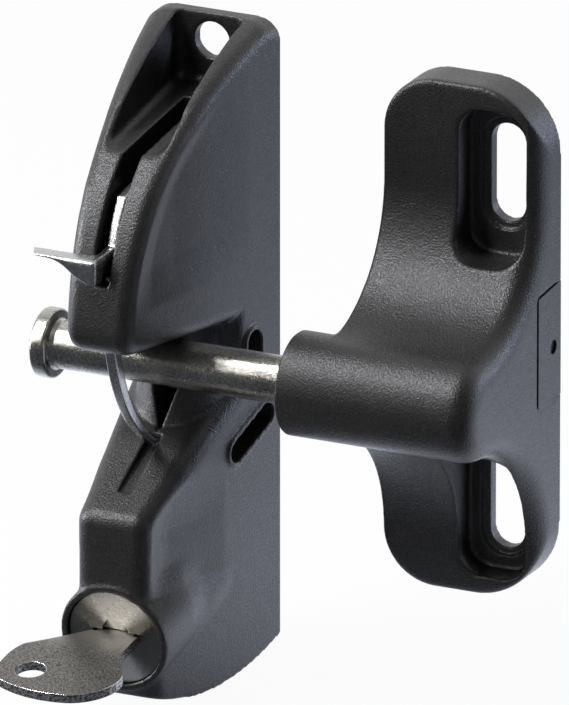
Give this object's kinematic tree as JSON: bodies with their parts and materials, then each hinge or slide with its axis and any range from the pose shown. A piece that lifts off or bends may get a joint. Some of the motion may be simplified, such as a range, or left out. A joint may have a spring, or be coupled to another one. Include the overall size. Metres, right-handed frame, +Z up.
{
  "type": "keyed gate latch",
  "caption": "Post-mounted gate latch with a lifting hook arm, a thumb tab and a key lock, and a plate striker with a headed round bar.",
  "frame": {"origin": "on the latch body's mounting face, on its middle plane, level with the striker bar's axis", "axes": "+X along the striker bar from the latch to the striker, +Y out of the mounting faces, +Z up"},
  "size_m": [0.1339, 0.0999, 0.1829],
  "materials": {
    "black_polymer": "fine-grained moulded",
    "arm_steel": "satin",
    "nickel": "nickel plated",
    "key_metal": "fine satin",
    "bright_steel": "plain",
    "brass": "plain",
    "grey_nylon": "plain",
    "soft_rubber": "matt"
  },
  "bodies": {
    "latch": {"latch_housing": "black_polymer", "rear_cover": "black_polymer", "cover_screws": "bright_steel", "arm_pivot_pin": "bright_steel", "arm_bushes": "grey_nylon", "arm_stop_pad": "soft_rubber", "lock_barrel": "nickel", "lock_washer": "bright_steel", "lock_nut": "nickel", "lock_seal": "soft_rubber"},
    "arm": {"latch_arm": "arm_steel"},
    "plug": {"lock_plug": "nickel", "lock_wafers": "brass", "wafer_springs": "bright_steel", "lock_cam": "bright_steel", "cam_screw": "bright_steel", "stop_washer": "bright_steel"},
    "key": {"lock_key": "key_metal"},
    "locking_plate": {"locking_plate": "bright_steel"},
    "striker": {"striker_body": "black_polymer", "striker_bar": "nickel", "bar_sleeve": "bright_steel", "bar_fixing_screw": "bright_steel", "striker_side_cap": "black_polymer"}
  },
  "joints": [
    {"name": "arm_lift", "type": "hinge", "parent": "latch", "child": "arm", "pos_m": [0, -0.016, 0.0203], "axis": [-1, 0, 0], "range_deg": [0, 47]},
    {"name": "lock_turn", "type": "hinge", "parent": "latch", "child": "plug", "pos_m": [0, -0.0642, -0.0739], "axis": [0, -0.9863, -0.165], "range_deg": [0, 90]},
    {"name": "key_pull", "type": "slide", "parent": "plug", "child": "key", "axis": [0, -0.9863, -0.165], "range_m": [0, 0.026]},
    {"name": "plate_rise", "type": "slide", "parent": "latch", "child": "locking_plate", "axis": [0, 0, 1], "range_m": [0, 0.0045]},
    {"name": "striker_play", "type": "slide", "parent": "latch", "child": "striker", "axis": [0, 1, 0], "range_m": [-0.006, 0.0034]}
  ],
  "couplings": [
    {"joint": "plate_rise", "follows": "lock_turn", "m_per_rad": 0.002858}
  ]
}
